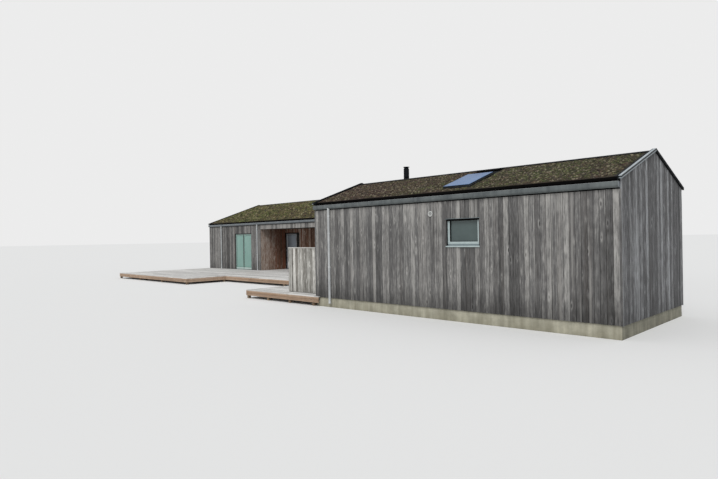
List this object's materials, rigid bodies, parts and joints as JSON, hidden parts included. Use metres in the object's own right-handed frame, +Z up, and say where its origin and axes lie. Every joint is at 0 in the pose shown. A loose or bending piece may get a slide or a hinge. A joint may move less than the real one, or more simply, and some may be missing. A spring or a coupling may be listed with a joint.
{
  "type": "timber beach house",
  "caption": "Low timber beach house of two parallel wings under sedum roofs, joined by a short link and a raised deck with a screen; hinged terrace and porch doors.",
  "frame": {"origin": "on the ground under the middle of the house's bounding box", "axes": "+X along both ridges towards the front wing's free gable, +Y from the front wing's front wall to the rear wing's back wall, +Z up"},
  "size_m": [28.078, 15.28, 5.7405],
  "materials": {
    "concrete": "matte render",
    "floor_wood": "oiled boards",
    "cladding": "weathered grey boards",
    "porch_cladding": "sheltered brown boards",
    "dark_boards": "matte stain",
    "roofing": "matte underlay on timber",
    "sedum": "sedum mat",
    "dark_metal": "matte",
    "zinc": "weathered zinc",
    "window_paint": "satin",
    "clear_glass": "clear",
    "skylight_metal": "satin",
    "door_paint": "satin",
    "door_glass": "pale, reflecting",
    "dark_paint": "satin",
    "flue_steel": "satin black",
    "vent_plastic": "matte",
    "deck_wood": "silver-grey boards",
    "deck_timber": "brown-grey timber",
    "screen_wood": "silvery boards"
  },
  "bodies": {
    "house": {"front_foundation": "concrete", "rear_foundation": "concrete", "link_foundation": "concrete", "floor_boards": "floor_wood", "front_wall": "cladding", "front_back_wall": "cladding", "front_gables": "cladding", "rear_front_wall": "cladding", "wall_headers": "cladding", "rear_gables": "cladding", "rear_back_wall": "cladding", "link_walls": "cladding", "porch_side_walls": "porch_cladding", "porch_back_wall": "porch_cladding", "porch_door_header": "porch_cladding", "porch_ceiling": "dark_boards", "eave_boards": "dark_boards", "link_roof": "roofing", "front_roof_south": "roofing", "front_roof_north": "roofing", "rear_roof_south": "roofing", "rear_roof_north": "roofing", "front_sedum": "sedum", "rear_sedum": "sedum", "ridge_caps": "dark_metal", "verge_caps": "zinc", "gutters": "zinc", "downpipes": "zinc", "window_frames": "window_paint", "window_sashes": "window_paint", "window_sills": "window_paint", "window_glass": "clear_glass", "porch_side_glass": "clear_glass", "skylight_glass": "clear_glass", "skylight_frame": "skylight_metal", "skylight_flashing": "skylight_metal", "flue_flashing": "skylight_metal", "terrace_door_frame": "door_paint", "porch_door_frame": "dark_paint", "flue": "flue_steel", "wall_vent": "vent_plastic", "deck_boards": "deck_wood", "deck_frame": "deck_timber", "deck_edge_boards": "deck_timber", "screen": "screen_wood"},
    "terrace_door_left": {"terrace_leaf_left": "door_paint", "terrace_glass_left": "door_glass"},
    "terrace_door_right": {"terrace_leaf_right": "door_paint", "terrace_glass_right": "door_glass"},
    "porch_door": {"porch_leaf": "door_paint", "porch_leaf_glass": "door_glass"}
  },
  "joints": [
    {"name": "terrace_left_hinge", "type": "hinge", "parent": "house", "child": "terrace_door_left", "pos_m": [-10.9325, -0.22, 0.33], "axis": [0, 0, -1], "range_deg": [0, 90]},
    {"name": "terrace_right_hinge", "type": "hinge", "parent": "house", "child": "terrace_door_right", "pos_m": [-9.3075, -0.22, 0.33], "axis": [0, 0, 1], "range_deg": [0, 90]},
    {"name": "porch_hinge", "type": "hinge", "parent": "house", "child": "porch_door", "pos_m": [-8.2425, 1.58, 0.33], "axis": [0, 0, -1], "range_deg": [0, 90]}
  ]
}
